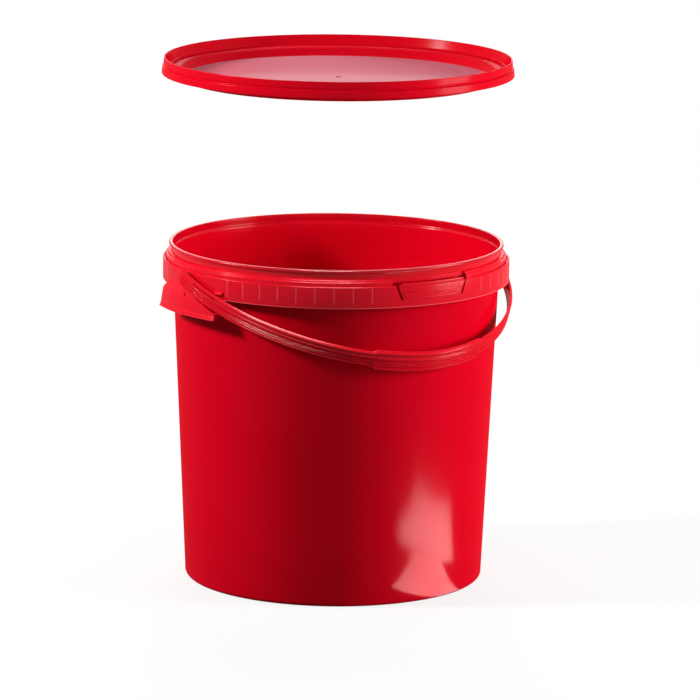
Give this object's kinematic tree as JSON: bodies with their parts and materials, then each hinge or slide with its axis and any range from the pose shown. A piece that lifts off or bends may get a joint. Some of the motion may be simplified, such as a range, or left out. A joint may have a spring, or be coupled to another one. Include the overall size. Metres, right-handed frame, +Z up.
{
  "type": "bucket with lid",
  "caption": "Round moulded plastic bucket with a pull-off lid, a swinging strap handle and a pull tab in its collar.",
  "frame": {"origin": "centre of the bucket's base, in the plane it stands on", "axes": "+Z up the bucket's axis, X along the handle's pivots, -Y towards the pull tab and the hanging handle"},
  "size_m": [0.3448, 0.331, 0.4935],
  "materials": {
    "bucket_plastic": "glossy moulded polypropylene, red",
    "lid_plastic": "glossy moulded polypropylene, red, with a satin panel",
    "handle_plastic": "glossy moulded polypropylene, red"
  },
  "bodies": {
    "bucket": {"bucket": "bucket_plastic"},
    "lid": {"lid": "lid_plastic"},
    "handle": {"handle": "handle_plastic"}
  },
  "joints": [
    {"name": "handle_swing", "type": "hinge", "parent": "bucket", "child": "handle", "pos_m": [0, 0, 0.297], "axis": [-1, 0, 0], "range_deg": [0, 202]},
    {"name": "lid_lift", "type": "slide", "parent": "bucket", "child": "lid", "axis": [0, 0, 1], "range_m": [-0.1621, 0]}
  ]
}
